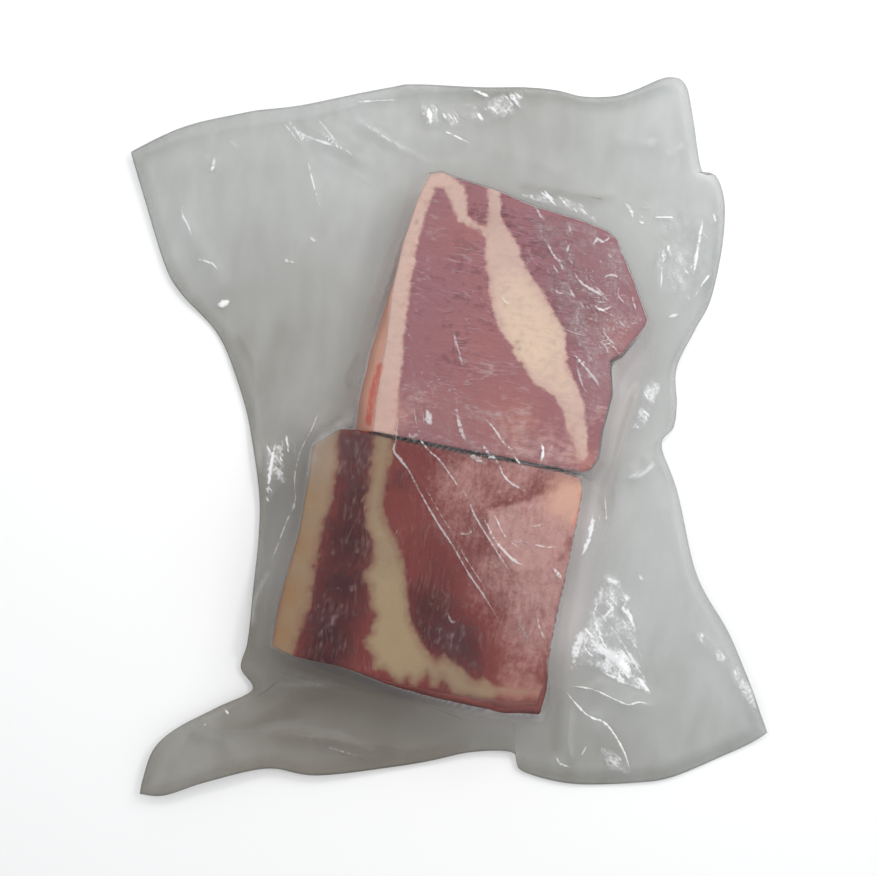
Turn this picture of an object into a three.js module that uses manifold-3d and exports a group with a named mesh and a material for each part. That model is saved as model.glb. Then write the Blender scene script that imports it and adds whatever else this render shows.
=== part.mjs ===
// Raw beef brisket in a clear vacuum bag: two sawn slabs lie edge to edge, and the bag's two plies
// wrap them tightly and run out flat all round as a crumpled skirt. The whole pack is one solid.
// Millimetres, +Z up. The pack lies on its back at z = 0, with the origin under the middle of the
// bag, +X to the right and +Y towards the bag's top edge, as seen from above.
import * as THREE from "three";
import { mergeVertices } from "three/addons/utils/BufferGeometryUtils.js";
import Module from "manifold-3d";

// Slabs, each sawn to one thickness
const upperHeight = 40;
const lowerHeight = 38;
const cornerSteps = 4; // straight pieces in each rounded corner

// Film
const plyThickness = 1.3; // both plies with the air between them
const weldThickness = 0.9; // the same at the bag's edge, where they are welded
const skirtRest = 0.8; // lowest height of the skirt's underside above the table
const skirtAtMeat = 9; // its height where it leaves the meat
const webReach = 18; // distance over which it slopes down from there
const waveReach = 42; // distance over which the skirt's waves grow to full height
const columns = 48;
const rows = 53;

// Waves run out from the meat like the spokes of a wheel
const skirtWaves = [
  { count: 3, phase: 0.4, height: 4.2 },
  { count: 5, phase: 2.2, height: 3.4 },
  { count: 8, phase: 5.1, height: 2.4 },
  { count: 13, phase: 1.3, height: 1.1 },
];

// Sharp folds in the skirt, each along a few points
const skirtFolds = [
  { height: 4.5, width: 8, path: [[66, -118], [82, -124], [104, -130]] },
  { height: 4.5, width: 8, path: [[64, -131], [78, -148], [85, -160]] },
  { height: 3, width: 8, path: [[-77, 152], [-52, 136], [-36, 128]] },
  { height: 3.5, width: 9, path: [[119, 108], [116, 74], [108, 36]] },
  { height: 3, width: 8, path: [[-128, 112], [-122, 84], [-108, 66]] },
];

// The bag's four edges as they lie, crumpled, from corner to corner
const topEdge = [
  [-150, 133.5], [-125.5, 144.5], [-94, 151.5], [-67.5, 155], [-27.5, 164], [-16.5, 165.5],
  [14.5, 165], [47, 164], [63, 160.5], [77.5, 160.5], [88, 163.5], [100.5, 168.5], [110.5, 168.5],
];
const rightEdge = [
  [150, -140], [132.5, -96], [116, -65.5], [107, -25.5], [100, -4.5], [105.5, 4], [107, 15],
  [107, 32], [115.5, 49.5], [123.5, 64.5], [128.5, 88], [129.5, 109], [125.5, 122],
  [118.5, 124.5], [114.5, 146.5], [110.5, 168.5],
];
const bottomEdge = [
  [-145.5, -168], [-134, -168.5], [-116, -162.5], [-96.5, -157.5], [-82.5, -156], [-61, -159.5],
  [-18.5, -155], [9.5, -149], [29.5, -149], [34, -158], [58.5, -164.5], [88.5, -164],
  [108, -160.5], [139, -147], [150, -140],
];
const leftEdge = [
  [-145.5, -168], [-144, -160.5], [-139, -147], [-128.5, -137.5], [-109, -127.5], [-93, -119.5],
  [-98.5, -109], [-95, -96.5], [-92.5, -73.5], [-89.5, -33], [-93.5, 0], [-100.5, 26.5],
  [-110, 48.5], [-127, 67.5], [-134.5, 81], [-143, 109], [-150, 133.5],
];

// Corners of each slab's sawn face, anticlockwise: place, rounding radius, and how far the wall
// below runs out by the time it reaches the table
const upperSlab = {
  height: upperHeight,
  centre: [22, 48],
  corners: [
    { at: [-35, 2], radius: 3, foot: [-10, 0] },
    { at: [62.5, -17.5], radius: 5, foot: [1, 0] },
    { at: [72, 19], radius: 8, foot: [1, 0] },
    { at: [70, 33.5], radius: 3, foot: [2, -1] },
    { at: [88.5, 50], radius: 4, foot: [1, -1] },
    { at: [72.5, 91], radius: 5, foot: [0, 1] },
    { at: [22, 108.5], radius: 12, foot: [0, 1] },
    { at: [-6.5, 119], radius: 7, foot: [0, 0] },
    { at: [-26, 63], radius: 20, foot: [-2, 0] },
    { at: [-32, 25], radius: 20, foot: [-7, 0] },
  ],
};
const lowerSlab = {
  height: lowerHeight,
  centre: [-9, -58],
  corners: [
    { at: [-60.5, -2], radius: 8, foot: [0, 0] },
    { at: [-72, -59], radius: 20, foot: [-1, 0] },
    { at: [-81, -95.5], radius: 4, foot: [-1, -1] },
    { at: [-27, -109.5], radius: 12, foot: [0, -3] },
    { at: [39.5, -120], radius: 4, foot: [3, -12] },
    { at: [50.5, -66], radius: 20, foot: [2, 0] },
    { at: [59.5, -18.8], radius: 3, foot: [1, 0] },
    { at: [-36, 0.4], radius: 4, foot: [0, 0] },
  ],
};

// Film round a slab from the table up: how far out it stands, and how high it is there. The lower
// ply comes up to the skirt, and the upper ply goes on from it.
const wrap = [
  { out: -4, height: 0 },
  { out: 0.2, height: 0.3 },
  { out: 1, height: 2 },
  { out: 2.2, height: 5 },
  { out: 5, height: 7.6 },
  { out: 9, height: 8.3 },
  { out: 6.8, height: 11 },
  { out: 5, height: 14.5 },
  { out: 3.4, height: 20 },
  { out: 2, height: 26.5 },
  { out: 1.1, height: 32 },
];
const wrapTop = [
  { out: 0.5, below: 3 },
  { out: -0.2, below: 1.3 },
  { out: -2, below: 0.25 },
  { out: -5, below: 0 },
];

// One slab's face outline: its corners as arcs, with the wall's run-out at each point
function outlineOf(slab) {
  const count = slab.corners.length;
  const points = [];
  slab.corners.forEach((corner, i) => {
    const here = new THREE.Vector2(...corner.at);
    const before = new THREE.Vector2(...slab.corners[(i + count - 1) % count].at).sub(here);
    const after = new THREE.Vector2(...slab.corners[(i + 1) % count].at).sub(here);
    const cut = Math.min(corner.radius, before.length() / 2.2, after.length() / 2.2);
    const start = here.clone().addScaledVector(before.normalize(), cut);
    const end = here.clone().addScaledVector(after.normalize(), cut);
    const arc = new THREE.QuadraticBezierCurve(start, here, end);
    for (const p of arc.getPoints(cornerSteps)) points.push({ x: p.x, y: p.y, foot: corner.foot });
  });
  return points;
}

// One slab wrapped in film: rings of its outline, moved out from its middle as the film stands
function wrappedSlab(slab) {
  const [cx, cy] = slab.centre;
  const outline = outlineOf(slab);
  const levels = [
    ...wrap,
    ...wrapTop.map(({ out, below }) => ({ out, height: slab.height - below })),
  ];
  const positions = [cx, cy, levels[0].height];
  const faces = [];
  const n = outline.length;
  levels.forEach(({ out, height }, level) => {
    const run = 1 - height / slab.height;
    for (const p of outline) {
      const reach = Math.hypot(p.x - cx, p.y - cy);
      const x = p.x + ((p.x - cx) / reach) * out + p.foot[0] * run;
      const y = p.y + ((p.y - cy) / reach) * out + p.foot[1] * run;
      positions.push(x, y, height);
    }
    const first = 1 + level * n;
    for (let i = 0; i < n; i++) {
      const j = (i + 1) % n;
      if (level === 0) {
        faces.push(0, first + j, first + i);
      } else {
        faces.push(first - n + i, first - n + j, first + j);
        faces.push(first - n + i, first + j, first + i);
      }
    }
  });
  const top = positions.length / 3;
  positions.push(cx, cy, slab.height);
  for (let i = 0; i < n; i++) faces.push(top, top - n + i, top - n + ((i + 1) % n));
  return geometryOf(positions, faces);
}

function geometryOf(positions, faces) {
  const geometry = new THREE.BufferGeometry();
  geometry.setAttribute("position", new THREE.Float32BufferAttribute(positions, 3));
  geometry.setIndex(faces);
  return geometry;
}

// Distance from a point to a chain of straight pieces, and how far along the chain that is, 0 to 1
function nearestOn(path, x, y, closed) {
  const pieces = closed ? path.length : path.length - 1;
  let best = Infinity;
  let along = 0;
  for (let i = 0; i < pieces; i++) {
    const [ax, ay] = path[i];
    const [bx, by] = path[(i + 1) % path.length];
    const length2 = (bx - ax) ** 2 + (by - ay) ** 2;
    const t = THREE.MathUtils.clamp(((x - ax) * (bx - ax) + (y - ay) * (by - ay)) / length2, 0, 1);
    const distance = Math.hypot(ax + t * (bx - ax) - x, ay + t * (by - ay) - y);
    if (distance < best) {
      best = distance;
      along = (i + t) / pieces;
    }
  }
  return { distance: best, along };
}

function isInside(path, x, y) {
  let inside = false;
  path.forEach(([ax, ay], i) => {
    const [bx, by] = path[(i + 1) % path.length];
    if (ay > y !== by > y && x < ax + ((y - ay) / (by - ay)) * (bx - ax)) inside = !inside;
  });
  return inside;
}

// Each slab's outline at the height where the skirt leaves it
const waists = [upperSlab, lowerSlab].map((slab) => {
  const run = 1 - skirtAtMeat / slab.height;
  return outlineOf(slab).map((p) => [p.x + p.foot[0] * run, p.y + p.foot[1] * run]);
});

// Distance out from the nearer slab, zero over the meat
function awayFromMeat(x, y) {
  return Math.min(
    ...waists.map((waist) => (isInside(waist, x, y) ? 0 : nearestOn(waist, x, y, true).distance)),
  );
}

// Height of the skirt's underside
function skirtHeight(x, y) {
  const away = awayFromMeat(x, y);
  const free = 1 - Math.exp(-((away / waveReach) ** 2));
  const angle = Math.atan2(y, x);
  let height = skirtRest + (skirtAtMeat - skirtRest) * Math.exp(-((away / webReach) ** 2));
  for (const { count, phase, height: full } of skirtWaves) {
    height += full * free * (0.5 + 0.5 * Math.cos(count * angle + phase)) ** 2;
  }
  for (const fold of skirtFolds) {
    const { distance, along } = nearestOn(fold.path, x, y, false);
    const fade = Math.sqrt(Math.sin(Math.PI * THREE.MathUtils.clamp(along, 0.04, 0.96)));
    height += fold.height * fade * Math.exp(-((distance / fold.width) ** 2));
  }
  return height;
}

const splineOf = (points) => new THREE.SplineCurve(points.map((p) => new THREE.Vector2(...p)));
const edges = {
  top: splineOf(topEdge),
  right: splineOf(rightEdge),
  bottom: splineOf(bottomEdge),
  left: splineOf(leftEdge),
};

// A point of the bag, across (u) and up (v) between its four edges: a Coons patch
function onBag(u, v) {
  const top = edges.top.getPointAt(u);
  const bottom = edges.bottom.getPointAt(u);
  const left = edges.left.getPointAt(v);
  const right = edges.right.getPointAt(v);
  const corners = [bottomEdge[0], bottomEdge.at(-1), topEdge[0], topEdge.at(-1)];
  const shares = [(1 - u) * (1 - v), u * (1 - v), (1 - u) * v, u * v];
  return [0, 1].map((axis) => {
    const key = axis === 0 ? "x" : "y";
    const between =
      (1 - v) * bottom[key] + v * top[key] + (1 - u) * left[key] + u * right[key];
    return between - corners.reduce((sum, corner, i) => sum + shares[i] * corner[axis], 0);
  });
}

// The bag's two plies as one thin wavy sheet, thinner along its welded edge
function filmSheet() {
  const positions = [];
  const faces = [];
  const across = columns + 1;
  const layer = across * (rows + 1);
  for (const upper of [0, 1]) {
    for (let j = 0; j <= rows; j++) {
      for (let i = 0; i <= columns; i++) {
        const [x, y] = onBag(i / columns, j / rows);
        const atEdge = i === 0 || j === 0 || i === columns || j === rows;
        const thickness = atEdge ? weldThickness : plyThickness;
        positions.push(x, y, skirtHeight(x, y) + upper * thickness);
      }
    }
  }
  for (let j = 0; j < rows; j++) {
    for (let i = 0; i < columns; i++) {
      const a = j * across + i;
      const [b, c, d] = [a + 1, a + across + 1, a + across];
      faces.push(a, c, b, a, d, c);
      faces.push(layer + a, layer + b, layer + c, layer + a, layer + c, layer + d);
    }
  }
  const rim = [];
  for (let i = 0; i < columns; i++) rim.push(i);
  for (let j = 0; j < rows; j++) rim.push(j * across + columns);
  for (let i = columns; i > 0; i--) rim.push(rows * across + i);
  for (let j = rows; j > 0; j--) rim.push(j * across);
  rim.forEach((a, k) => {
    const b = rim[(k + 1) % rim.length];
    faces.push(a, b, layer + b, a, layer + b, layer + a);
  });
  return geometryOf(positions, faces);
}

const wasm = await Module();
wasm.setup();

function solidOf(geometry) {
  const merged = mergeVertices(geometry, 1e-4);
  return new wasm.Manifold(
    new wasm.Mesh({
      numProp: 3,
      vertProperties: merged.attributes.position.array,
      triVerts: new Uint32Array(merged.index.array),
    }),
  );
}

function sealedBag() {
  const solid = solidOf(filmSheet())
    .add(solidOf(wrappedSlab(upperSlab)))
    .add(solidOf(wrappedSlab(lowerSlab)));
  const made = solid.getMesh();
  const mesh = new THREE.Mesh(
    geometryOf(made.vertProperties, Array.from(made.triVerts)),
    new THREE.MeshStandardMaterial({ color: 0xb4b6b3, roughness: 0.25, metalness: 0 }),
  );
  mesh.name = "sealed_bag";
  return mesh;
}

const brisketPack = new THREE.Group();
brisketPack.add(sealedBag());

export default brisketPack;
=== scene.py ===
import math
import time

import bmesh
import bpy
import numpy as np
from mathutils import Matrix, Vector, noise


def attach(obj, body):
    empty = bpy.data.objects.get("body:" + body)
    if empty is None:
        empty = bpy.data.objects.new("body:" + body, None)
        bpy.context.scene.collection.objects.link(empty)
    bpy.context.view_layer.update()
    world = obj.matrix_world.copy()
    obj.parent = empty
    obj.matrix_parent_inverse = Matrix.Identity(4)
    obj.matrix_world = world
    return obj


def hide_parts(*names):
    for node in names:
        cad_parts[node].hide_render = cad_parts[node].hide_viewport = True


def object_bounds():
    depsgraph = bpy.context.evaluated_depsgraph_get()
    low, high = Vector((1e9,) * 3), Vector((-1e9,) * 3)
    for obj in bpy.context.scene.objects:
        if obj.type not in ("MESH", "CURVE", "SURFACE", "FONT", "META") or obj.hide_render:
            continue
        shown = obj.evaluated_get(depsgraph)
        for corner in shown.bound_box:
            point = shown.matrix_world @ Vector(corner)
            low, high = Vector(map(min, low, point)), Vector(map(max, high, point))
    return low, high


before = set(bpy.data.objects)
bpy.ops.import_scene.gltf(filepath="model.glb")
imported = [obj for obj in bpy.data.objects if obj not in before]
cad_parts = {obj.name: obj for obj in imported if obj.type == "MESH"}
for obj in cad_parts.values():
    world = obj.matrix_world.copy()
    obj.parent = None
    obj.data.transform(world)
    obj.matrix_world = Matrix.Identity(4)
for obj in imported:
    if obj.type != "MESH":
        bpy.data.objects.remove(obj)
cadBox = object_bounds()
started = time.time()
mm = 0.001  # outlines and sizes below are in millimetres


def report(stage):
    print(f"{time.time() - started:6.1f} s  {stage}")


# Plane geometry: curves, distances and soft steps

def curveThrough(points, count):
    # a Catmull-Rom curve through the points, cut into even lengths
    points = np.array(points, float)
    last = len(points) - 1
    t = np.linspace(0, last, 40 * last + 1)
    i = np.minimum(t.astype(int), last - 1)
    w = (t - i)[:, None]
    before, here, there, after = (points[np.clip(i + k, 0, last)] for k in (-1, 0, 1, 2))
    leave, arrive = (there - before) / 2, (after - here) / 2
    curve = (2 * here - 2 * there + leave + arrive) * w**3
    curve += (3 * there - 3 * here - 2 * leave - arrive) * w**2 + leave * w + here
    run = np.concatenate([[0], np.cumsum(np.linalg.norm(np.diff(curve, axis=0), axis=1))])
    even = np.linspace(0, run[-1], count)
    return np.stack([np.interp(even, run, column) for column in curve.T], axis=1)


def nearest(places, path, closed=False):
    # distance to a chain of straight pieces, the nearest place on it, how far along, which side
    path = np.array(path, float)[:, :2]
    starts, ends = (path, np.roll(path, -1, axis=0)) if closed else (path[:-1], path[1:])
    distance = np.full(len(places), np.inf)
    spot = np.zeros((len(places), 2))
    along = np.zeros(len(places))
    side = np.zeros(len(places))
    for k, (a, b) in enumerate(zip(starts, ends)):
        t = np.clip((places - a) @ (b - a) / ((b - a) @ (b - a)), 0, 1)
        q = a + t[:, None] * (b - a)
        d = np.linalg.norm(places - q, axis=1)
        closer = d < distance
        distance[closer], spot[closer] = d[closer], q[closer]
        along[closer] = (k + t[closer]) / len(starts)
        turn = (b[0] - a[0]) * (places[:, 1] - a[1]) - (b[1] - a[1]) * (places[:, 0] - a[0])
        side[closer] = np.sign(turn[closer])
    return distance, spot, along, side


def isInside(places, outline):
    outline = np.array(outline, float)[:, :2]
    x, y = places.T
    inside = np.zeros(len(places), bool)
    for (ax, ay), (bx, by) in zip(outline, np.roll(outline, -1, axis=0)):
        if ay != by:
            inside ^= ((ay > y) != (by > y)) & (x < ax + (y - ay) / (by - ay) * (bx - ax))
    return inside


def smoothStep(low, high, value):
    t = np.clip((value - low) / (high - low), 0, 1)
    return t * t * (3 - 2 * t)


def roughness(places, size, seed, octaves=2):
    # smooth random heights, about -1 to 1, over places in millimetres
    shift = Vector((seed * 17.3, seed * 5.1, seed * 9.7))
    return np.array([noise.fractal(Vector(p) / size + shift, 1.0, 2.0, octaves) for p in places])


def spread(places, spots):
    # a soft field, 0 to 1, from spots of x, y, radius and amount
    field = np.zeros(len(places))
    for x, y, radius, amount in spots:
        near = np.exp(-((places[:, :2] - (x, y)) ** 2).sum(axis=1) / radius**2)
        field += amount * near * (1 - field)
    return np.clip(field, 0, 1)


# Meshes

def setAttribute(mesh, name, values):
    data = np.asarray(values, np.float32)
    mesh.attributes.new(name, "FLOAT", "POINT").data.foreach_set("value", data)


def readPlaces(mesh):
    flat = np.empty(len(mesh.vertices) * 3, np.float32)
    mesh.vertices.foreach_get("co", flat)
    return flat.reshape(-1, 3).astype(float) / mm


def writePlaces(mesh, places):
    mesh.vertices.foreach_set("co", (places * mm).astype(np.float32).ravel())
    mesh.update()


def readNormals(mesh):
    flat = np.empty(len(mesh.vertices) * 3, np.float32)
    mesh.vertex_normals.foreach_get("vector", flat)
    return flat.reshape(-1, 3).astype(float)


def makeObject(name, data):
    piece = bpy.data.objects.new(name, data)
    bpy.context.scene.collection.objects.link(piece)
    return piece


def bakeModifiers(piece, name):
    # the piece's mesh with its modifiers worked in
    shown = piece.evaluated_get(bpy.context.evaluated_depsgraph_get())
    mesh = bpy.data.meshes.new_from_object(shown)
    mesh.name = name
    bpy.data.objects.remove(piece)
    return mesh


# The slabs: each sawn face as x, y and how far the wall below runs out by the table, anticlockwise

upperSlab = {
    "name": "upper_slab",
    "height": 40,
    "outline": [
        (-34.5, 1.8, -11, 0), (-24, -0.4, -3, 0), (12, -7.5, 0, 0), (58, -16.5, 0, 0),
        (62, -15.1, 1, 0), (65.5, -10, 1, 0), (67, 1, 1, 0), (71.5, 18.5, 1, 0),
        (70.5, 33.5, 2, -1), (76, 36, 1, -1), (86.5, 48.5, 1, -1), (87.5, 51.5, 1, 0),
        (80, 72, 0, 1), (73.5, 87.5, 0, 1), (69.5, 91, 0, 1), (58, 95.5, 0, 1), (36.5, 102, 0, 1),
        (22, 108.5, 0, 1), (6, 113.5, 0, 0), (-3.5, 117, 0, 0), (-9.5, 116.5, 0, 0),
        (-15, 104.5, 0, 0), (-21.5, 84.5, -1, 0), (-26, 64.5, -4, 0), (-29, 40, -9, 0),
        (-33, 16, -10.5, 0),
    ],
    # stretches of fat, each along x, y and half its width
    "fat": [
        [(-9, 116, 5), (-13, 103, 3.3), (-17.5, 88, 3.6), (-22, 70, 4.6), (-24, 55, 4.8),
         (-27, 38, 6), (-31, 16, 7.8), (-33.5, -2, 9.5)],
        [(-9, 116, 6), (-1, 113, 3.5), (2, 108.5, 4), (4, 101.5, 3.2), (5.5, 97, 2.4),
         (9, 94, 1.6), (13.5, 91.5, 1.4), (18, 88.5, 2.5)],
        [(19, 111, 2.5), (19.5, 95.5, 3.5), (22, 83.5, 7.5), (25, 72.5, 8.5), (29, 60, 11.5),
         (35, 49, 12), (39.5, 41.5, 12), (43.5, 29, 9), (51, 20.5, 5.5), (54.5, 11.5, 5),
         (57, -0.5, 3.5), (58.3, -8, 2.6)],
    ],
    # soft spots of x, y, radius and amount
    "dark": [(8, 68, 16, 0.25), (-2, 38, 18, 0.3), (50, 74, 18, 0.5), (62, 54, 16, 0.45),
             (-4, 100, 10, 0.25), (12, 102, 10, 0.4), (21, 98, 9, 0.6), (36, 88, 10, 0.3)],
    "pale": [(62, 74, 22, 0.25), (78, 52, 12, 0.4), (66, 10, 12, 0.3), (-14, 14, 12, 0.4),
             (22, 8, 26, 0.22), (48, -6, 12, 0.65), (-8, 96, 12, 0.3), (64, 44, 12, 0.2),
             (30, -4, 12, 0.4)],
    "frost": [(-14, 28, 17, 0.6), (-4, 20, 12, 0.45), (62, 70, 18, 0.75), (75, 50, 13, 0.85),
              (2, 6, 14, 0.3), (64, 14, 9, 0.6), (44, 92, 12, 0.3)],
    "warm": [(38, 44, 20, 1), (29, 64, 12, 0.6), (52, 22, 10, 0.4)],
    "red": [(26, 8, 20, 0.9), (12, 40, 16, 0.6), (6, 88, 12, 0.6), (60, -12, 8, 1), (-2, 12, 14, 0.5),
            (74, 44, 8, 0.5), (16, 66, 9, 0.5)],
    "salmon": [(61, -11, 5, 0.25), (30, 4, 12, 0.2), (-33, 12, 14, 0.55), (57.5, -9, 4, 0.3)],
    "plum": [],
    "blood": [(x, y, 2.3, 0.6) for x, y in curveThrough([(-31.8, 31), (-34.6, 21), (-36.8, 6)], 14)]
    + [(60, -14.2, 2.2, 0.4)],
    "clouds": [],
    "speck": [(29.5, 41.5, 1, 0.5), (30.5, 38.5, 0.9, 0.45), (31.5, 32, 1, 0.5), (33, 29.5, 0.8, 0.35),
              (24, 57.5, 0.9, 0.25), (-15, 94.5, 0.8, 0.5), (1.5, 115, 1.2, 0.5), (61, -14, 1, 0.4)],
    "mauve": 1.0,
    "grain": -0.16,
    "ragged": 0.9,
}
lowerSlab = {
    "name": "lower_slab",
    "height": 38,
    "outline": [
        (-61.5, -4, 0, 0), (-63.5, -19.5, 0, 0), (-67.5, -42.5, 0, 0), (-73, -62, -1, 0),
        (-77.5, -79, -1, 0), (-79.5, -93.5, -1, -3), (-70.5, -98, 0, -5), (-48, -103, 0, -8),
        (-27, -109.5, 0, -9.5), (-6, -114, 0, -11), (12, -116.5, 0, -12.5), (25, -118, 1, -14),
        (38, -118.5, 5, -14), (41.5, -111.5, 5, -8), (45.5, -88.5, 4, 0), (50.5, -66, 3, 0),
        (55.5, -43, 1, 0), (57.5, -32, 1, 0), (59, -24, 1, 0), (58, -18.2, 0, 0),
        (49, -15.5, 0, 0), (12, -8.2, 0, 0), (-24, -1.1, 0, 0), (-35, 1.3, 0, 0),
        (-42, 2.9, 0, -1.6), (-49.5, 3.4, 0, -2.2),
    ],
    "fat": [
        [(-56.5, 1, 7), (-58, -13, 8), (-60.5, -28.5, 7.5), (-63, -42, 6), (-66, -55, 6.5),
         (-68, -68.5, 7), (-71, -79.5, 6.5), (-74, -90.5, 6), (-76, -97, 6)],
    ],
    # the seam's own outline, ragged along the bottom
    "seam": [
        (-33.5, 3), (-35, -9.5), (-36, -19.5), (-38, -28.5), (-37, -40.5), (-34.5, -49.5),
        (-35, -55.5), (-38.5, -62.5), (-35.5, -69), (-36, -75), (-34, -80.5), (-37, -88.5),
        (-38.5, -92), (-34, -97), (-34, -103), (-29, -104), (-25.5, -108), (-23.5, -111.5),
        (-19, -107.8), (-16.3, -112), (-10.5, -106.3), (-8.1, -111.5), (-6.1, -111.5),
        (-3.7, -108), (0, -112.5), (3.4, -116), (12, -117), (18, -117.5), (22, -115.2),
        (33, -114), (41, -113.3), (41, -112.7), (30.5, -112.6),
        (21.5, -111), (15.5, -108.6), (11, -108.6), (4.5, -102.5), (-3, -97.5), (-7, -99.5),
        (-9.5, -97), (-15, -88), (-18.5, -77.5), (-19.5, -64.5), (-20.5, -54.5), (-25, -45.5),
        (-28.5, -37.5), (-30, -31.5), (-28.5, -22.5), (-25.5, -7.5), (-24.5, 2),
    ],
    "dark": [(-43, -5, 13, 0.8), (-43, -25, 13, 0.84), (-46, -45, 14, 0.92), (-49, -65, 15, 0.94),
             (-53, -85, 15, 0.96), (-56, -100, 12, 0.9), (-7, -86, 12, 0.82), (4, -92, 11, 0.85),
             (-13, -74, 8, 0.6), (13, -102, 8, 0.35), (36, -104, 10, 0.1), (-22, -20, 7, 0.5),
             (-9, -46, 14, 0.3), (-4, -66, 15, 0.4), (-8, -112, 12, 0.3)],
    "pale": [(32, -15, 15, 0.78), (7, -19, 17, 0.68), (5, -38, 16, 0.4), (51, -62, 13, 0.85),
             (38, -64, 13, 0.68), (36, -84, 17, 0.7), (32, -106, 13, 0.45), (47, -84, 12, 0.5),
             (52, -18, 10, 0.5), (20, -58, 13, 0.5), (57, -46, 7, 0.7), (14, -70, 14, 0.3),
             (-56, -9, 11, 0.5)],
    # paler stretches with an edge: how pale, soft edge and outline
    "clouds": [
        (0.95, 5, [(15.8, -31.5), (27, -31), (38.4, -26.5), (60, -22), (58, -42.6), (51.5, -46.7),
                    (50.5, -52), (46.5, -57), (36.2, -60.5), (28, -60.5), (20.8, -51.6),
                    (16.7, -42.6)]),
    ],
    "frost": [(-40, -34, 8, 0.12), (-6, -76, 9, 0.4),
              (30, -30, 12, 0.5), (40, -96, 12, 0.4)],
    "warm": [(-25, -92, 22, 1), (-28, -68, 12, 0.7), (-32, -44, 12, 0.4), (-34, -10, 10, 0.1)],
    "red": [(30, -98, 16, 0.8), (48, -100, 12, 0.7), (-50, -103, 10, 0.7), (-18, -40, 10, 0.5),
            (56, -56, 6, 0.9), (-72, -70, 9, 0.9), (-75, -88, 8, 0.8), (-66, -48, 8, 0.7),
            (-62, -28, 6, 0.5), (-22, -20, 8, 0.4), (-34, -12, 10, 0.3)],
    "salmon": [(54, -25, 9, 0.95), (47, -29, 8, 0.6), (56, -36, 6, 0.6), (27, -114, 9, 0.4),
               (40, -113, 6, 0.35)],
    "blood": [(x, y, 1.1, 0.3) for x, y in curveThrough([(57.2, -25), (57.4, -31), (55, -40)], 18)],
    "plum": [(-42, -6, 10, 1), (-43, -22, 7, 0.6), (-50, -34, 5, 0.4), (-56, -82, 8, 0.7),
             (-42, -74, 5, 0.5), (-7, -84, 7, 0.6), (3, -91, 9, 0.9), (8, -101, 6, 0.6),
             (-2, -15, 12, 0.3), (-45, -58, 6, 0.3)],
    "speck": [(-33.5, -66, 0.9, 0.4), (-59, -94, 1, 0.3), (-2, -110.5, 1.5, 0.3)],
    "mauve": 0.0,
    "grain": 1.42,
    "ragged": 1.3,
}
slabMesh = {
    "cell": 0.9,
    "foot": 0.6,  # its foot above the table, clear of the film below
    "edge": 1.0,  # its rounded edge
    "edgeSteps": 3,
    "swell": 0.22,
    "grain": 0.12,
    "groove": 0.25,  # between lean and fat
}


def fatDistance(places, slab):
    # signed distance to the slab's fat, negative inside it
    nearestFat = np.full(len(places), np.inf)
    for path in slab["fat"]:
        distance, _, along, _ = nearest(places, path)
        halves = np.interp(along, np.linspace(0, 1, len(path)), [p[2] for p in path])
        nearestFat = np.minimum(nearestFat, distance - halves)
    if "seam" in slab:
        distance, _, _, _ = nearest(places, slab["seam"], closed=True)
        seam = np.where(isInside(places, slab["seam"]), -distance, distance)
        nearestFat = np.minimum(nearestFat, seam)
    return nearestFat


def slabBody(slab):
    # the sawn outline, drawn down to the table with its wall's run-out, then remeshed evenly
    bm = bmesh.new()
    foot = [Vector((x + runX, y + runY, slabMesh["foot"])) * mm
            for x, y, runX, runY in slab["outline"]]
    face = bm.faces.new([bm.verts.new(place) for place in foot])
    drawn = bmesh.ops.extrude_face_region(bm, geom=[face])["geom"]
    for v in [v for v in drawn if isinstance(v, bmesh.types.BMVert)]:
        k = min(range(len(foot)), key=lambda k: (foot[k] - v.co).length)
        v.co = Vector((*slab["outline"][k][:2], slab["height"])) * mm
    bmesh.ops.recalc_face_normals(bm, faces=bm.faces)
    edges = [e for e in bm.edges if abs(e.verts[0].co.z - e.verts[1].co.z) < 1 * mm]
    bmesh.ops.bevel(bm, geom=edges, offset=slabMesh["edge"] * mm, segments=slabMesh["edgeSteps"],
                    profile=0.5, affect="EDGES", material=-1)
    mesh = bpy.data.meshes.new(slab["name"])
    bm.to_mesh(mesh)
    bm.free()
    piece = makeObject(slab["name"] + "_rough", mesh)
    remesh = piece.modifiers.new("even", "REMESH")
    remesh.mode = "VOXEL"
    remesh.voxel_size = slabMesh["cell"] * mm
    return bakeModifiers(piece, slab["name"])


def slabSample(places, slab):
    # how far each place is on a wall, and where it reads the pattern of the face: a wall carries
    # on with what lies just inside the edge above it
    outline, height = slab["outline"], slab["height"]
    distance, spot, _, _ = nearest(places[:, :2], outline, closed=True)
    outside = ~isInside(places[:, :2], outline)
    wall = smoothStep(height - 0.6, height - 2.5, places[:, 2]) * (outside | (distance < 1.5))
    middle = np.mean([row[:2] for row in outline], axis=0)
    inward = (middle - spot) / np.linalg.norm(middle - spot, axis=1)[:, None]
    return wall, np.where(wall[:, None] > 0, spot + inward, places[:, :2])


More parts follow.
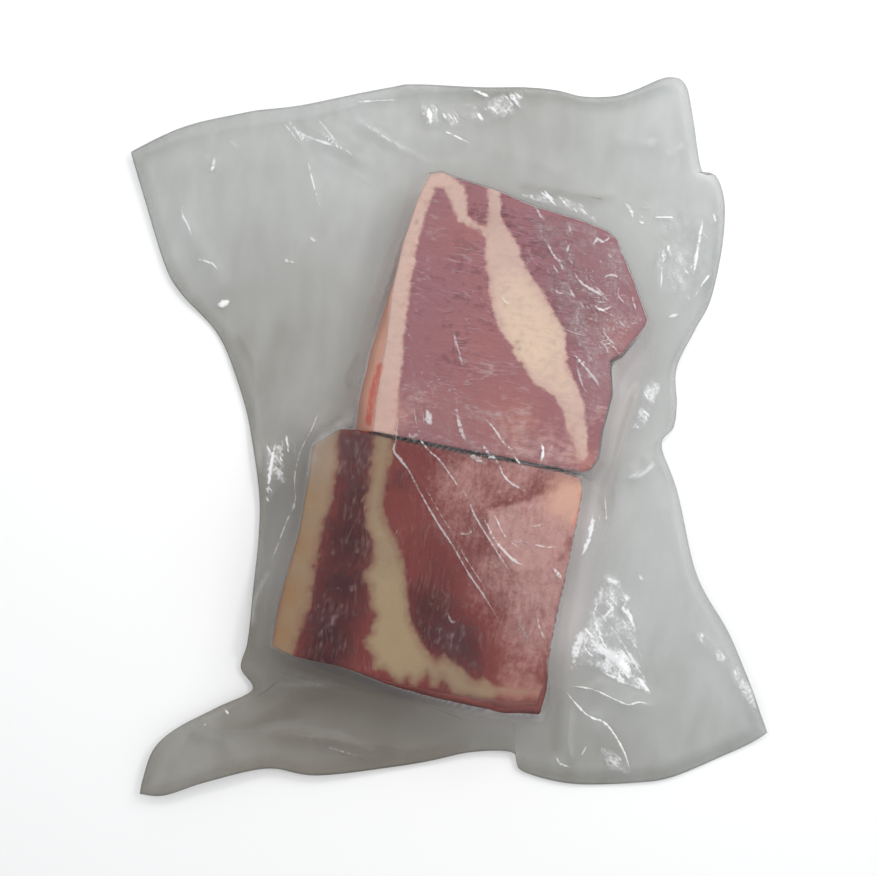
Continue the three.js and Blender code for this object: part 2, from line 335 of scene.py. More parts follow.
def makeSlab(slab):
    height = slab["height"]
    mesh = slabBody(slab)
    places, normals = readPlaces(mesh), readNormals(mesh)
    wall, sample = slabSample(places, slab)
    fat = fatDistance(sample, slab)
    wander = roughness(places, 7, 11) * 0.9 + roughness(places, 2.2, 12) * 0.7
    blotch = roughness(places, 12, 13, 3)
    mottle = roughness(places, 2.6, 15) + roughness(places, 7, 16) * 0.5
    # fibres run along the grain and waver
    turn = slab["grain"]
    wave = roughness(places, 16, 14) * 1.5
    along = sample[:, 0] * math.cos(turn) + sample[:, 1] * math.sin(turn)
    across = sample[:, 1] * math.cos(turn) - sample[:, 0] * math.sin(turn) + wave
    across += (height - places[:, 2]) * wall
    grain = roughness(np.stack([along * 0.25, across, 0 * along], axis=1), 2.2, 5)
    # relief: a gentle swell, the grain of the lean and a groove where lean meets fat
    swell = (blotch - 1) * slabMesh["swell"]
    groove = -slabMesh["groove"] * np.exp(-((fat / 0.8) ** 2))
    lean = smoothStep(-0.5, 1, fat)
    places += normals * (swell + grain * slabMesh["grain"] * lean + groove)[:, None]
    places[:, 2] = np.clip(places[:, 2], 0.5, height)
    writePlaces(mesh, places)
    fields = {"fat": fat + wander * slab["ragged"], "wall": wall, "blotch": blotch, "mottle": mottle,
              "along": along, "across": across, "mauve": 0 * fat + slab["mauve"],
              "blood": spread(places, slab["blood"])}
    for name in ("dark", "pale", "frost", "warm", "red", "salmon", "plum", "speck"):
        fields[name] = spread(sample, slab[name])
    cloud, _ = patchField(sample[:, :2] + wander[:, None] * 2, slab["clouds"])
    fields["pale"] = np.maximum(fields["pale"], cloud)
    for name, values in fields.items():
        setAttribute(mesh, name, values)
    mesh.shade_smooth()
    piece = makeObject(slab["name"], mesh)
    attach(piece, "root")
    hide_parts("sealed_bag")
    return piece


# The bag

bag = {
    "columns": 210,
    "rows": 234,
    "rest": 1.8,  # lowest height of the upper ply above the table
    "atMeat": 9.4,  # its height where it leaves the meat
    "slope": 18,  # distance over which it comes down from there
    "waveReach": 42,  # distance over which the skirt's waves grow to full height
    "ply": 0.5,  # from one ply to the other
    "reach": 24,  # how far from a slab's face the film stands off the table
    "weld": 8,  # width of the darker rim along the weld: partly the weld's own haze, partly painted shade along the edge
    "creaseHalf": 1.7,  # half-width of a crease's ridge
    "edgeSteps": 1201,  # points along each of the bag's edges
    "paintedLightReach": 17,  # how far out the painted light beside the meat goes
    # spots of x, y, radius and amount: painted light beside the meat, more painted shade, less painted
    # shade, and film hanging loose
    "paintedLight": [(82, 10, 26, 1), (70, -40, 28, 1), (62, -85, 28, 1), (82, 32, 14, 0.9),
             (78, 26, 8, 0.9), (-38, 80, 24, 0.5), (-62, 6, 8, 0.3), (74, 34, 8, 1)],
    "dim": [(30, 150, 60, 0.35), (-10, -140, 45, 0.3), (-30, -128, 22, 0.25), (-85, 110, 40, 0.1),
            (-62, 60, 25, 0.2), (-62, -112, 16, 0.5)],
    "clear": [(-128, -145, 30, 0.25), (-130, 95, 30, 0.35), (-86, -60, 26, 0.45),
              (105, -25, 30, 0.15), (66, -80, 20, 0.3), (10, -132, 40, 0.2)],
    "loose": [(60, -60, 22, 1), (56, -88, 19, 1), (66, -30, 16, 1), (58, -106, 14, 1)],
}
# The upper ply round a slab: how far out from the face's edge, and how high as a share of the slab
filmWall = [
    (-3, 1.008), (-1.2, 1.006), (-0.4, 1.0), (0.1, 0.985), (0.45, 0.96), (0.8, 0.92), (1.3, 0.82),
    (2.1, 0.68), (3.5, 0.52), (5.2, 0.385), (7, 0.3), (9.5, 0.225), (13, 0.18), (18, 0.13),
    (24, 0.09),
]
# The lower ply coming up from the table: how far out from the wall's foot, and how high
bowl = [(-4, 0.05), (0.2, 0.3), (1, 2), (2.2, 5), (5, 7.6), (9, 12), (40, 60)]
skirtWaves = [(3, 0.4, 4.2), (5, 2.2, 3.4), (8, 5.1, 2.4), (13, 1.3, 1.1)]  # count, phase, height
bagEdges = {
    "top": [
        (-150, 133.5), (-125.5, 144.5), (-94, 151.5), (-67.5, 155), (-27.5, 164), (-16.5, 165.5),
        (14.5, 165), (47, 164), (63, 160.5), (77.5, 160.5), (88, 163.5), (100.5, 168.5),
        (107, 168.3), (109.6, 166.6),
    ],
    "right": [
        (150, -140), (132.5, -96), (116, -65.5), (107, -25.5), (100, -4.5), (105.5, 4), (107, 15),
        (107, 32), (115.5, 49.5), (123.5, 64.5), (128.5, 88), (129.5, 109), (125.5, 122),
        (118.5, 124.5), (114.5, 146.5), (111.8, 162),
        (109.6, 166.6),
    ],
    "bottom": [
        (-145.5, -168), (-134, -168.5), (-116, -162.5), (-96.5, -157.5), (-82.5, -156),
        (-61, -159.5), (-18.5, -155), (9.5, -149), (29.5, -149), (34, -158), (58.5, -164.5),
        (88.5, -164), (108, -160.5), (139, -147), (150, -140),
    ],
    "left": [
        (-145.5, -168), (-144, -160.5), (-139, -147), (-128.5, -137.5), (-109, -127.5),
        (-93, -119.5), (-98.5, -109), (-95, -96.5), (-92.5, -73.5), (-89.5, -33), (-93.5, 0),
        (-100.5, 26.5), (-110, 48.5), (-127, 67.5), (-134.5, 81), (-143, 109), (-150, 133.5),
    ],
}
# Broad folds: height, half-width and path
folds = [
    (4.0, 5.0, [(66, -118), (82, -124), (104, -130)]),
    (4.0, 5.0, [(64, -131), (78, -146), (86, -162)]),
    (2.6, 4.0, [(-77, 152), (-52, 137), (-36, 126)]),
    (2.5, 5.0, [(119, 108), (117, 90), (113, 74), (104, 52)]),
    (2.2, 5.0, [(-126, 114), (-122, 96), (-112, 80), (-106, 62)]),
    (3.0, 3.5, [(91, 28), (84, 8), (77, -16), (69, -36)]),
    (1.8, 4.0, [(-48, 150), (-33, 141.5), (-11, 130), (16, 134)]),
    (2.0, 3.5, [(-88, -110), (-54.5, -117), (-11, -128)]),
    (2.0, 4.0, [(-122, -138), (-96.5, -135), (-67.5, -121), (-49, -119)]),
    (2.0, 3.5, [(-89, -140), (-54.5, -143), (-30, -153)]),
    (1.6, 4.0, [(-92, 36), (-91, 0), (-86, -30), (-88, -60)]),
    (2.0, 4.5, [(83, -20), (93, -19), (98, -10)]),
    (1.5, 5.0, [(104, 140), (92, 137), (70, 142)]),
    (1.6, 5.0, [(112, -90), (128, -104), (146, -131)]),
]
# Painted light and shade on the film's soft folds: width left and right of the path, lighter or
# darker, and path
shades = [
    (1.4, 6, -0.5, [(88.9, 26.2), (86, 16.9), (83.2, 7.6), (81, -1), (79.6, -8.2), (78.2, -16.8),
                     (76.7, -26.8), (76, -36.1), (74.6, -42.6)]),
    (1, 5, -0.3, [(66.5, -20), (69.5, -27), (72.5, -34), (73, -42)]),
    (1.2, 9, -0.65, [(-93.7, -120.7), (-83, -122.5), (-70.7, -121.1), (-54.4, -118.3),
                    (-35.2, -120.7), (-11.3, -125.5)]),
    (3, 0.8, 0.2, [(-84, -117.5), (-67, -117), (-50, -116)]),
    (3.5, 1.2, -0.5, [(-111, -136), (-91.8, -135.1), (-78.4, -132.7), (-65.9, -131.3)]),
    (4, 1.5, 0.14, [(-92, -138.5), (-75, -136.5), (-58, -137)]),
    (1.2, 5, -0.55, [(-89, -141), (-78.4, -139.5), (-65.9, -142), (-49.6, -144), (-33.3, -147),
                    (-20.8, -149)]),
    (6, 4, 0.16, [(-116, -137.5), (-104, -143.5), (-99, -148.4), (-100.4, -155)]),
    (3, 3, -0.25, [(-124, -140), (-112, -143), (-104, -143)]),
    (1.5, 1.5, 0.3, [(-83, -61), (-91, -76), (-93, -91.5)]),
    (1.2, 2.5, 0.2, [(-91, 37.5), (-90, 9.5), (-89.5, -6), (-88.5, -20.5)]),
    (4, 3.5, 0.4, [(-40, 14), (-48, 7), (-56, 0), (-61, -9), (-64, -22)]),
    (2.5, 1, -0.3, [(-42, 40), (-48.5, 27), (-45.5, 20.5)]),
    (1.5, 3, -0.4, [(28, 118.2), (43.2, 115.7), (67, 112.4), (81.3, 113.3)]),
    (3, 1, 0.18, [(-66.4, 132.2), (-49.2, 126.5), (-32, 115)]),
    (2.5, 0.8, 0.25, [(-48.3, 150.3), (-31.1, 140.8), (-13.9, 130.3), (-4.5, 128.4)]),
    (3, 3, 0.2, [(-111, 145), (-112, 134.5), (-114.5, 123)]),
    (1, 6, 0.15, [(59.6, 160), (59.6, 148), (58, 134.5)]),
    (3, 1, 0.2, [(101, 94), (99, 82), (98, 64)]),
    (2.5, 1, -0.2, [(116.5, -58.5), (125, -77), (134.5, -96)]),
    (5, 5, 0.15, [(99, -30), (108.5, -51.5), (118, -77)]),
    (3, 3, -0.3, [(52, -119.5), (50, -138.5), (50, -152.5)]),
    (3, 1.5, 0.25, [(57.5, -124.5), (56.5, -141), (59, -155)]),
    (1.6, 1, 0.6, [(82.4, -19.7), (90.3, -18.2), (93.9, -15.4), (97.5, -11.1)]),
    (1, 3, -0.25, [(-102.5, 50), (-94, 36), (-88.5, 17)]),
    (3, 3, 0.3, [(108, 88), (110, 78), (106, 66)]),
    (3, 3, 0.25, [(77, 36), (73.5, 31), (73.5, 20)]),
    (2.5, 2.5, 0.3, [(92, 139), (94.5, 138), (97, 137)]),
    (2, 2, 0.3, [(101, 133), (105, 134), (110.5, 138)]),
]
# Sharp creases: half-width, brightness (a painted highlight, partly the film's whitening; below zero,
# painted shade), rise and path
creases = [
    (0.3, 0.4, 0.8, [(-79, 148), (-73.5, 141), (-67.5, 132.5)]),
    (0.35, 0.4, 0.5, [(-67, 133), (-65, 122.5), (-60, 104)]),
    (0.35, 0.35, 0.5, [(-48.5, 156), (-21.5, 158.5)]),
    (0.8, 0.25, 0.5, [(-46.5, 150), (-33, 141.5), (-20.5, 134.5), (-11, 130)]),
    (0.9, 0.5, 0.8, [(-112, 122.5), (-109, 132)]),
    (0.6, 0.3, 0.6, [(-104.5, 140), (-97.5, 132)]),
    (0.5, 0.45, 0.6, [(-124.5, 111), (-125.5, 104.5), (-122.5, 98.5), (-120.5, 92)]),
    (0.6, 0.4, 0.6, [(-120, 83.5), (-111, 80.5), (-109, 76.5)]),
    (1.1, 0.95, 0.6, [(-110, 61), (-103.5, 64)]),
    (0.7, 0.4, 0.5, [(-78.5, 83), (-72.5, 81)]),
    (0.7, 0.4, 0.5, [(-67, 94), (-62.5, 91)]),
    (0.9, 0.85, 0.6, [(-10, 156), (-9, 145.5)]),
    (0.7, 0.7, 0.6, [(-3.5, 153), (-1.5, 149)]),
    (0.7, 0.6, 0.6, [(10.5, 164), (19.5, 160)]),
    (0.5, 0.5, 0.6, [(-4.5, 145), (11, 137.5)]),
    (1.0, 0.9, 0.6, [(82, 110.5), (85.5, 105.5), (85, 101.5)]),
    (0.4, 0.6, 0.6, [(94.5, 103), (108, 103)]),
    (0.8, 0.85, 0.6, [(99.5, 90), (101, 84.5), (100, 81)]),
    (0.7, 0.85, 0.6, [(119.5, 104), (117, 92.5), (114.5, 73)]),
    (0.6, 0.5, 0.6, [(124, 105.5), (125.5, 100)]),
    (0.5, 0.5, 0.6, [(110, 80), (112.5, 75)]),
    (0.35, 0.3, 0.6, [(72.5, -27), (74, -42)]),
    (0.75, 0.9, 0.8, [(67, -35), (66, -45), (64, -51), (60.5, -57.5)]),
    (2.0, 0.7, 0.5, [(67, -90.5), (68, -98.5), (75, -103), (83, -108.5), (85.5, -115)]),
    (1.8, 0.6, 0.5, [(63.5, -89.5), (60.5, -97), (58.5, -104.5), (56, -108.5)]),
    (1.1, 0.8, 0.5, [(74, -76.5), (77, -80.5), (73.5, -85.5), (76.5, -85.5)]),
    (0.7, 0.8, 0.5, [(73.5, -66), (76.5, -68.5), (80.5, -69)]),
    (0.8, 0.6, 0.5, [(89, -65), (91, -68.5)]),
    (0.4, 0.8, 0.9, [(54, -117), (59.5, -117.5), (70, -120), (83, -126), (89.5, -125), (98.5, -128)]),
    (0.5, 0.5, 0.8, [(73.5, -151), (80.5, -157)]),
    (0.45, 0.5, 0.5, [(50, -150), (52, -154.5), (57.5, -156.5)]),
    (0.45, 0.4, 0.5, [(62, -151.5), (65, -145.5)]),
    (0.7, 0.8, 0.6, [(-81.5, -1), (-84, -14), (-85.5, -29.5)]),
    (0.5, 0.6, 0.5, [(-77, 1.5), (-75.5, -10)]),
    (0.35, 0.25, 0.3, [(-41.5, 33.5), (-43, 19.5)]),
    (0.35, 0.3, 0.5,
     [(-44, 18.5), (-59.5, 13), (-65, 1.5), (-70.5, -9.5), (-72.5, -20), (-72, -31),
      (-76.5, -40.5), (-83, -57.5), (-90.5, -73.5)]),
    (0.42, 0.5, 0.3,
     [(-25, 28), (-23.1, 18.2), (-23.5, 4.7), (-24.4, -3), (-25, -7), (-19, -14.5), (-14.5, -23),
      (-9, -33), (-4.6, -40.3), (0, -47.1), (4.5, -54.8), (9, -62.5), (13.5, -68.9),
      (20.5, -80), (26.5, -90.5), (29.5, -98)]),
    (0.6, 0.75, 0.4,
     [(15.4, -32.6), (14.9, -36.3), (17.2, -40.8), (19.4, -45.3), (22.6, -49.9), (27.1, -54.4),
      (31.6, -57.1), (36.7, -58.2)]),
    (0.4, 0.4, 0.3, [(30.3, -40.8), (36.2, -40.3), (40.7, -39.4), (44.3, -39.7)]),
    (0.5, 0.7, 0.4,
     [(13.5, -1.8), (14.9, -4.5), (17.2, -8.2), (19.9, -10.4), (22.1, -14.1), (23, -16.8),
      (26.2, -20.4), (30.8, -23.1), (35.3, -25.4), (40.7, -27.2)]),
    (1.0, 0.8, 0.4, [(45.2, -58), (47, -60.2), (49.7, -63.9)]),
    (0.5, 0.45, 0.4, [(38.5, -77.5), (39.5, -85), (43.5, -93)]),
    (0.4, 0.35, 0.4, [(-1.5, -76.5), (0.5, -82.5), (5, -81)]),
    (1.0, 0.6, 0.4, [(2.1, 16.4), (3, 9.2), (5.2, 1), (8, -4.4)]),
    (1.3, 0.7, 0.4, [(-19.1, -0.3), (-13.2, 0.6)]),
    (1.1, 0.55, 0.4, [(6, -7.5), (9.9, -9), (13.4, -11.2), (18, -13.5)]),
    (0.6, 0.6, 0.4, [(42.5, 87), (44.5, 81.5), (47.5, 77.5), (51.5, 77.5)]),
    (0.6, 0.7, 0.4, [(62, 82.5), (65, 87), (67.5, 85.5), (72, 89.5)]),
    (0.55, 0.7, 0.4, [(54, 73), (57.5, 68), (66.5, 62.5), (73, 62.5)]),
    (0.5, 0.6, 0.4, [(80, 63.5), (82, 54.5)]),
    (0.6, 0.6, 0.4, [(62, 59), (66.5, 55.5), (73, 58)]),
    (0.6, 0.7, 0.4, [(53, 36), (56.5, 34), (60.5, 31.5)]),
    (0.5, 0.6, 0.4, [(68.5, 41.5), (72, 39), (76.5, 34.5)]),
    (0.35, 0.45, 0.4, [(55, 34.5), (57.5, 24.5), (61, 18), (67.5, 14.5)]),
    (0.5, 0.5, 0.4, [(39.5, -1.5), (41, -7), (39.5, -11.5)]),
    (0.5, 0.5, 0.4, [(22.5, 62.5), (24, 59.5), (28, 57)]),
    (0.5, 0.45, 0.4, [(0.7, 48), (2.1, 42.6), (4.4, 35.3), (5.2, 29)]),
    (0.5, 0.2, 0.4, [(-60, -145.8), (-49.6, -148.5), (-40, -151.4)]),
]
# More of them, that cross those or run close beside them
crossCreases = [
    (0.3, 0.4, 0.8, [(-77, 149), (-71.5, 142), (-66.4, 133.5)]),
    (0.45, 0.45, 0.8, [(-74, 146.5), (-68.3, 140.8), (-58.8, 137), (-48.3, 133.2), (-41.6, 126.5)]),
    (0.4, 0.3, 0.5, [(-65.5, 152.3), (-58.8, 144.7), (-53, 137), (-48.8, 134)]),
    (1.0, 0.85, 0.6, [(27.5, 163), (33.5, 154)]),
    (0.6, 0.5, 0.6, [(88, 101), (92, 100)]),
    (0.4, 0.4, 0.6, [(88, 108), (96.5, 107)]),
    (0.8, 0.7, 0.6, [(103.5, 90.5), (102.5, 86.5)]),
    (0.45, 0.7, 0.6, [(124.5, 78), (119.5, 72), (115, 64.5)]),
    (0.4, 0.5, 0.6, [(100, 80), (99.5, 73), (98.5, 67.5)]),
    (0.6, 0.55, 0.6, [(101, 55), (109, 58)]),
    (2.8, 1.0, 0.5, [(79.5, -106), (83, -110.5), (84, -114)]),
    (0.7, 0.6, 0.5, [(69, -109.5), (76.5, -113.5), (85.5, -117.5), (92, -120), (94.5, -122.5)]),
    (0.9, 0.9, 0.5, [(81.5, -72.5), (83.5, -77), (82, -81.5), (85.5, -85.5), (88, -93)]),
    (0.8, 0.7, 0.5, [(70, -90), (71.5, -95), (74, -98.5)]),
    (0.9, 0.7, 0.5, [(77, -99.5), (83, -104.5), (88.5, -108), (89.5, -113)]),
    (0.6, 0.5, 0.5, [(67, -85.5), (70.5, -76.5)]),
    (0.45, 0.85, 0.9,
     [(50.5, -113.5), (57, -123), (65, -131.5), (72.5, -134.5), (78.5, -142), (83, -151),
      (86, -162.5)]),
    (0.42, 0.5, 0.3,
     [(-24.5, 28.5), (-21.8, 28.1), (-19.6, 23.6), (-17.3, 17.3), (-15.5, 8.3), (-14.6, 1),
      (-12.8, -2.5), (-8.5, -7.5), (-4.6, -10.9), (2.7, -21.3), (5.9, -24.9), (8.6, -29.9),
      (10.8, -35.3), (14.5, -41.7), (20.8, -51.6), (28, -63), (31.6, -69.7), (35, -80)]),
    (0.34, 0.45, 0.3,
     [(-19, -12.5), (-12.5, -20.5), (-7.5, -29.5), (-0.9, -40.3), (3.1, -47.6), (7.7, -55.7),
      (12.2, -62.5), (17.2, -71.1), (20.5, -77.5)]),
    (0.45, 0.6, 0.4,
     [(11.6, 11), (18.8, 3.8), (22.6, -1.8), (26.7, -5.9), (28.9, -10), (33.5, -15.4),
      (36.2, -19.5)]),
    (0.6, 0.5, 0.4, [(-17.5, 0.5), (-13.5, 0.5), (-15, 4)]),
    (0.4, 0.6, 0.4,
     [(16, -35), (19, -34.9), (20.8, -38), (22.6, -42.1), (25.3, -45.8), (29.4, -48.9),
      (33.5, -52.1)]),
    (0.42, 0.55, 0.4,
     [(27.1, -44.4), (31.6, -46.4), (37.5, -48.3), (43.4, -49.4), (47.5, -48.9), (49.3, -50.7)]),
    (0.5, 0.45, 0.4, [(8, -40), (9, -43), (2, -43.5)]),
    (0.4, 0.4, 0.4, [(-23, -41), (-24, -43), (-22, -44)]),
    (0.35, 0.3, 0.4, [(-15, -54.5), (-12, -58.5)]),
    (1.1, 0.7, 0.4, [(-10.5, 12.8), (-9.6, 7.4), (-7.8, 3.8)]),
    (0.7, 0.55, 0.4, [(13.4, -2.5), (16.1, -7.1), (17.9, -11.6)]),
    (0.45, 0.35, 0.4, [(-19.1, 46.2), (-16.4, 40.7)]),
    (0.7, 0.65, 0.4, [(40.4, -2.5), (40.9, -7), (39.5, -13.4)]),
    (0.7, 0.6, 0.5, [(-106.2, -129), (-103.3, -130.5)]),
    (0.7, 0.6, 0.5, [(-115.3, -136), (-114, -135)]),
    (0.5, 0.45, 0.4, [(37, 103), (39.5, 97.5), (42.5, 95)]),
    (0.5, 0.6, 0.4, [(53.5, 87), (52, 83), (51, 80)]),
    (0.5, 0.5, 0.4, [(47.5, 67), (47, 63.5), (51.5, 63)]),
    (0.5, 0.6, 0.4, [(66, 68.5), (70, 71), (73, 70.5), (77.5, 68)]),
    (0.45, 0.5, 0.4, [(76, 68), (74, 62.5), (78.5, 57)]),
    (0.35, 0.4, 0.4, [(47, 50), (53, 46), (63, 43.5)]),
    (0.4, 0.45, 0.4, [(64, 42.5), (68.5, 39.5), (70, 34)]),
    (0.5, 0.5, 0.4, [(57.5, 19), (65.5, 14.5)]),
    (0.5, 0.45, 0.4, [(42.5, -8), (45, -4.5), (44, -1.5)]),
    (0.5, 0.5, 0.4, [(59.4, 70.5), (64, 67.8), (72, 60.6)]),
    (0.45, 0.45, 0.4, [(55, 59.7), (64, 57), (75.6, 50.7)]),
    (0.5, 0.5, 0.4, [(64.5, 50), (69, 44), (74, 37.5)]),
    (0.5, 0.55, 0.4, [(53, 38), (57.6, 32.6), (64, 24.5), (68, 18)]),
    # dark ones: painted shade on the undersides of folds
    (0.6, -0.5, 0.2, [(-86, -109.1), (-68.8, -113), (-59.2, -115.8), (-40, -119.7)]),
    (0.6, -0.5, 0.2, [(-16, -124), (-6, -126.8), (4.1, -131.2), (10, -134)]),
    (0.6, -0.5, 0.4,
     [(-89, -140.8), (-78.4, -139.3), (-65.9, -141.8), (-49.6, -143.7), (-33.3, -146.6),
      (-20.8, -148.5), (-11.3, -147.5)]),
    (0.5, -0.6, 0.4, [(-57, -148), (-44.8, -151.4), (-32.3, -154.3)]),
]
# Crumpled patches: how white their painted glints and glow are, soft edge and outline
patches = [
    (0.6, 5, [(73.5, -62.5), (57, -108.5), (67, -108), (95, -123), (88.5, -94.5), (80, -67)]),
    (1.0, 3, [(66, -85), (59, -104.5), (67, -108), (77, -113.5), (85.5, -117.5), (94.5, -122.5),
              (95.5, -121), (88.5, -113), (83, -103), (76, -97), (71, -92), (70, -87)]),
    (0.9, 2, [(81, -72), (85, -75.5), (86, -83), (88.5, -92), (87, -94.5), (82.5, -90.5),
              (81, -85.5)]),
    (0.8, 2, [(73.5, -75.5), (77, -72.5), (80, -77.5), (77, -85.5), (73.5, -86.5)]),
    (0.5, 2.5, [(72.5, -66), (79, -67.5), (80, -69.5), (73, -68.5)]),
    (0.42, 8, [(36, 97.5), (66, 93), (77, 82), (86, 55.5), (84, 44.5), (71.5, 35.5),
               (69.5, 16), (61.5, 7), (55, 38), (43, 64.5)]),
    (0.28, 7, [(96, 108), (123, 103.5), (125.5, 77.5), (112.5, 59), (99.5, 63.5), (95, 92)]),
    (0.8, 4, [(94, 28), (100, 24), (96, 14.5), (91.5, 3), (86, 4), (90, 17)]),
    (0.75, 4, [(-86, -4), (-78, -4), (-77, -22), (-86, -32)]),
    (0.55, 5, [(-14, 158), (4, 156), (36, 164), (33, 152), (10, 146), (-12, 146)]),
    (0.6, 5, [(70, -146), (82, -148), (86, -161), (74, -158)]),
    (0.24, 9, [(-20, 24), (20, 16), (40, 0), (60, -14), (5, -8), (-18, 0)]),
    (0.2, 9, [(4, -36), (30, -30), (48, -60), (44, -96), (30, -96), (18, -70), (8, -56)]),
    (0.6, 4, [(30, 112), (62, 103), (68, 99), (70, 106), (45, 117)]),
    (0.7, 3, [(114, -93), (119, -92), (131, -104), (127, -107), (121, -101)]),
    (0.7, 3, [(131, -109), (135, -109), (142, -118), (146, -130), (142, -129), (135, -119)]),
    (0.12, 8, [(-70, 150), (-30, 156), (-12, 132), (-40, 118), (-60, 130)]),
]


def bagPlaces(u, v):
    # where the flat bag's points lie, between its four crumpled edges
    edge = {name: curveThrough(points, bag["edgeSteps"]) for name, points in bagEdges.items()}
    steps = np.linspace(0, 1, bag["edgeSteps"])

    def at(name, t):
        return np.stack([np.interp(t, steps, edge[name][:, k]) for k in (0, 1)], axis=1)

    bottomLeft, bottomRight = edge["bottom"][0], edge["bottom"][-1]
    topLeft, topRight = edge["top"][0], edge["top"][-1]
    a, b = u[:, None], v[:, None]
    places = (1 - b) * at("bottom", u) + b * at("top", u)
    places += (1 - a) * at("left", v) + a * at("right", v)
    places -= (1 - a) * (1 - b) * bottomLeft + a * (1 - b) * bottomRight
    return places - (1 - a) * b * topLeft - a * b * topRight


def footField(places):
    # distance out from the slabs' feet, negative over the meat
    fields = []
    for slab in (upperSlab, lowerSlab):
        foot = [(x + runX, y + runY) for x, y, runX, runY in slab["outline"]]
        distance, _, _, _ = nearest(places, foot, closed=True)
        fields.append(np.where(isInside(places, foot), -distance, distance))
    return np.minimum(*fields)


def meatFields(places):
    # for each slab: distance out from its face, the way there, the wall's run-out and its height
    fields = []
    for slab in (upperSlab, lowerSlab):
        outline = slab["outline"]
        distance, spot, along, _ = nearest(places, outline, closed=True)
        inside = isInside(places, outline)
        away = np.where(inside[:, None], spot - places, places - spot)
        way = away / np.maximum(distance, 1e-6)[:, None]
        steps = np.linspace(0, 1, len(outline) + 1)
        foot = np.stack([
            np.interp(along, steps, [row[k] for row in outline] + [outline[0][k]]) for k in (2, 3)
        ], axis=1)
        runOut = np.maximum((foot * way).sum(axis=1), 0)
        fields.append((np.where(inside, -distance, distance), way, runOut, slab["height"]))
    return fields


def skirtHeight(places, away):
    free = 1 - np.exp(-((away / bag["waveReach"]) ** 2))
    angle = np.arctan2(places[:, 1], places[:, 0])
    height = bag["rest"] + (bag["atMeat"] - bag["rest"]) * np.exp(-((away / bag["slope"]) ** 2))
    for count, phase, full in skirtWaves:
        height += full * free * (0.5 + 0.5 * np.cos(count * angle + phase)) ** 2
    for full, half, path in folds:
        distance, _, along, _ = nearest(places, path)
        ends = smoothStep(0, 0.2, along) * smoothStep(1, 0.8, along)
        height += full * ends * np.exp(-((distance / half) ** 2))
    return height


def creaseField(places, creases):
    # the nearest crease: its distance, and the place's way across it, its half-width, light, rise
    best = np.full(len(places), 1e3)
    found = {name: np.zeros(len(places)) for name in ("across", "wide", "bright", "rise")}
    for half, bright, rise, path in creases:
        path = curveThrough(path, 8 * len(path)) if len(path) > 2 else path
        distance, _, along, side = nearest(places, path)
        ends = smoothStep(0, 0.3, along) * smoothStep(1, 0.7, along)
        half = half * (0.3 + 0.7 * ends)
        closer = distance < best
        best[closer] = distance[closer]
        values = {"across": distance * side, "wide": half, "bright": bright * ends,
                  "rise": rise * ends}
        for name, value in values.items():
            found[name][closer] = value[closer]
    return best, found


def patchField(places, patches):
    # how strong a patch is at each place, and how far inside it the place is
    white, share = np.zeros(len(places)), np.zeros(len(places))
    for bright, soft, outline in patches:
        distance, _, _, _ = nearest(places, outline, closed=True)
        distance = np.where(isInside(places, outline), -distance, distance)
        here = smoothStep(soft * 0.6, -soft * 0.4, distance)
        white = np.maximum(white, bright * here)
        share = np.maximum(share, here)
    return white, share


def shadeField(places):
    # how much painted light or shade: lighter or darker than the rest
    shade = np.zeros(len(places))
    for left, right, amount, path in shades:
        path = curveThrough(path, 6 * len(path)) if len(path) > 2 else path
        distance, _, along, side = nearest(places, path)
        ends = smoothStep(0, 0.15, along) * smoothStep(1, 0.85, along)
        half = np.where(side > 0, left, right)
        shade += amount * ends * np.exp(-((distance / half) ** 2))
    return shade


def slideIn(flat, held):
    # film near a slab slides in towards it, to lie evenly up the wall
    wall = np.array(filmWall)
    lengths = np.linalg.norm(np.diff(wall * (1, 40), axis=0), axis=1)
    run = np.concatenate([[0], np.cumsum(lengths)])
    fields = meatFields(flat)
    away = np.stack([np.maximum(field[0], 0) for field in fields])
    moved = flat.copy()
    for k, (distance, way, runOut, _) in enumerate(fields):
        reach = bag["reach"] + runOut
        share = np.clip((distance + 3) / (reach + 3), 0, 1)
        out = np.interp(share * run[-1], run, wall[:, 0])
        rise = np.interp(share * run[-1], run, wall[:, 1])
        out += runOut * (1 - rise * (1 - smoothStep(0.8, 1, share)))
        slid = np.where((distance > -3) & (distance < reach), out - distance, 0)
        weight = (away[1 - k] ** 2 + 1e-3) / (away[0] ** 2 + away[1] ** 2 + 2e-3)
        moved += way * (slid * weight * held)[:, None]
    return moved


def wallHeight(distance, runOut, height):
    # height of the film against a slab's wall, found by halving
    wall = np.array(filmWall)[::-1]
    low, high = np.zeros(len(distance)), np.full(len(distance), 1.008)
    for _ in range(20):
        middle = (low + high) / 2
        further = np.interp(middle, wall[:, 1], wall[:, 0]) + runOut * (1 - middle) > distance
        low, high = np.where(further, middle, low), np.where(further, high, middle)
    return np.where(distance > bag["reach"] + runOut, 0, low * height)


def flatBag():
    # the flat bag as a grid: its mesh, where its points lie and how far in from the edge they are
    bm = bmesh.new()
    bmesh.ops.create_grid(bm, x_segments=bag["columns"], y_segments=bag["rows"], size=1)
    mesh = bpy.data.meshes.new("bag_film")
    bm.to_mesh(mesh)
    bm.free()
    grid = readPlaces(mesh) * mm
    u, v = (grid[:, 0] + 1) / 2, (grid[:, 1] + 1) / 2
    edge = np.minimum(np.minimum(u, 1 - u), np.minimum(v, 1 - v))
    return mesh, slideIn(bagPlaces(u, v), smoothStep(0, 0.06, edge)), edge


